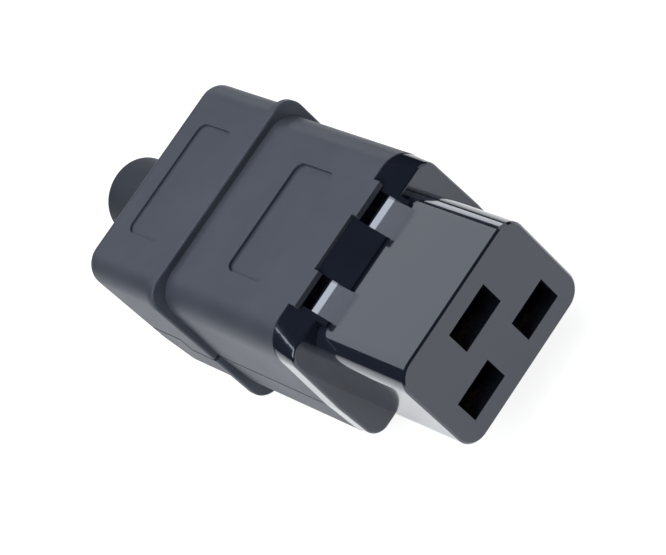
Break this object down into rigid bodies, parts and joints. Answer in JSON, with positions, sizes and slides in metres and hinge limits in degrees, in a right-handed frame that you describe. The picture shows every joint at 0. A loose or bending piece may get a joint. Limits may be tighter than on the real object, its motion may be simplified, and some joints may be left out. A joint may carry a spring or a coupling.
{
  "type": "c19 power connector",
  "caption": "Rewireable 16 A appliance connector with a rounded glossy nose, collar, two-part matte housing and rubber cable boot.",
  "frame": {"origin": "middle of the mating face at the end of the nose", "axes": "+X out of the mating face towards the inlet, +Z the side with the earth slot, the cable leaves towards -X"},
  "size_m": [0.0846, 0.0364, 0.0291],
  "materials": {
    "housing_plastic": "fine spark-eroded texture",
    "insert_plastic": "smooth moulded gloss",
    "inner_plastic": "plain moulded",
    "boot_rubber": "soft matte",
    "contact_brass": "bright rolled strip",
    "spring_steel": "rolled",
    "screw_steel": "zinc plated"
  },
  "bodies": {
    "root": {"nose_insert": "insert_plastic", "upper_housing": "housing_plastic", "lower_housing": "housing_plastic", "contact_retainer": "inner_plastic", "cable_boot": "boot_rubber", "cord_clamp": "inner_plastic", "clamp_screw_left": "screw_steel", "clamp_screw_right": "screw_steel", "contact_line": "contact_brass", "spring_band_line": "spring_steel", "terminal_block_line": "contact_brass", "terminal_screw_line": "screw_steel", "contact_neutral": "contact_brass", "spring_band_neutral": "spring_steel", "terminal_block_neutral": "contact_brass", "terminal_screw_neutral": "screw_steel", "contact_earth": "contact_brass", "spring_band_earth": "spring_steel", "terminal_block_earth": "contact_brass", "terminal_screw_earth": "screw_steel", "housing_screw_front_left": "screw_steel", "housing_screw_front_right": "screw_steel", "housing_screw_rear_left": "screw_steel", "housing_screw_rear_right": "screw_steel"}
  },
  "joints": []
}
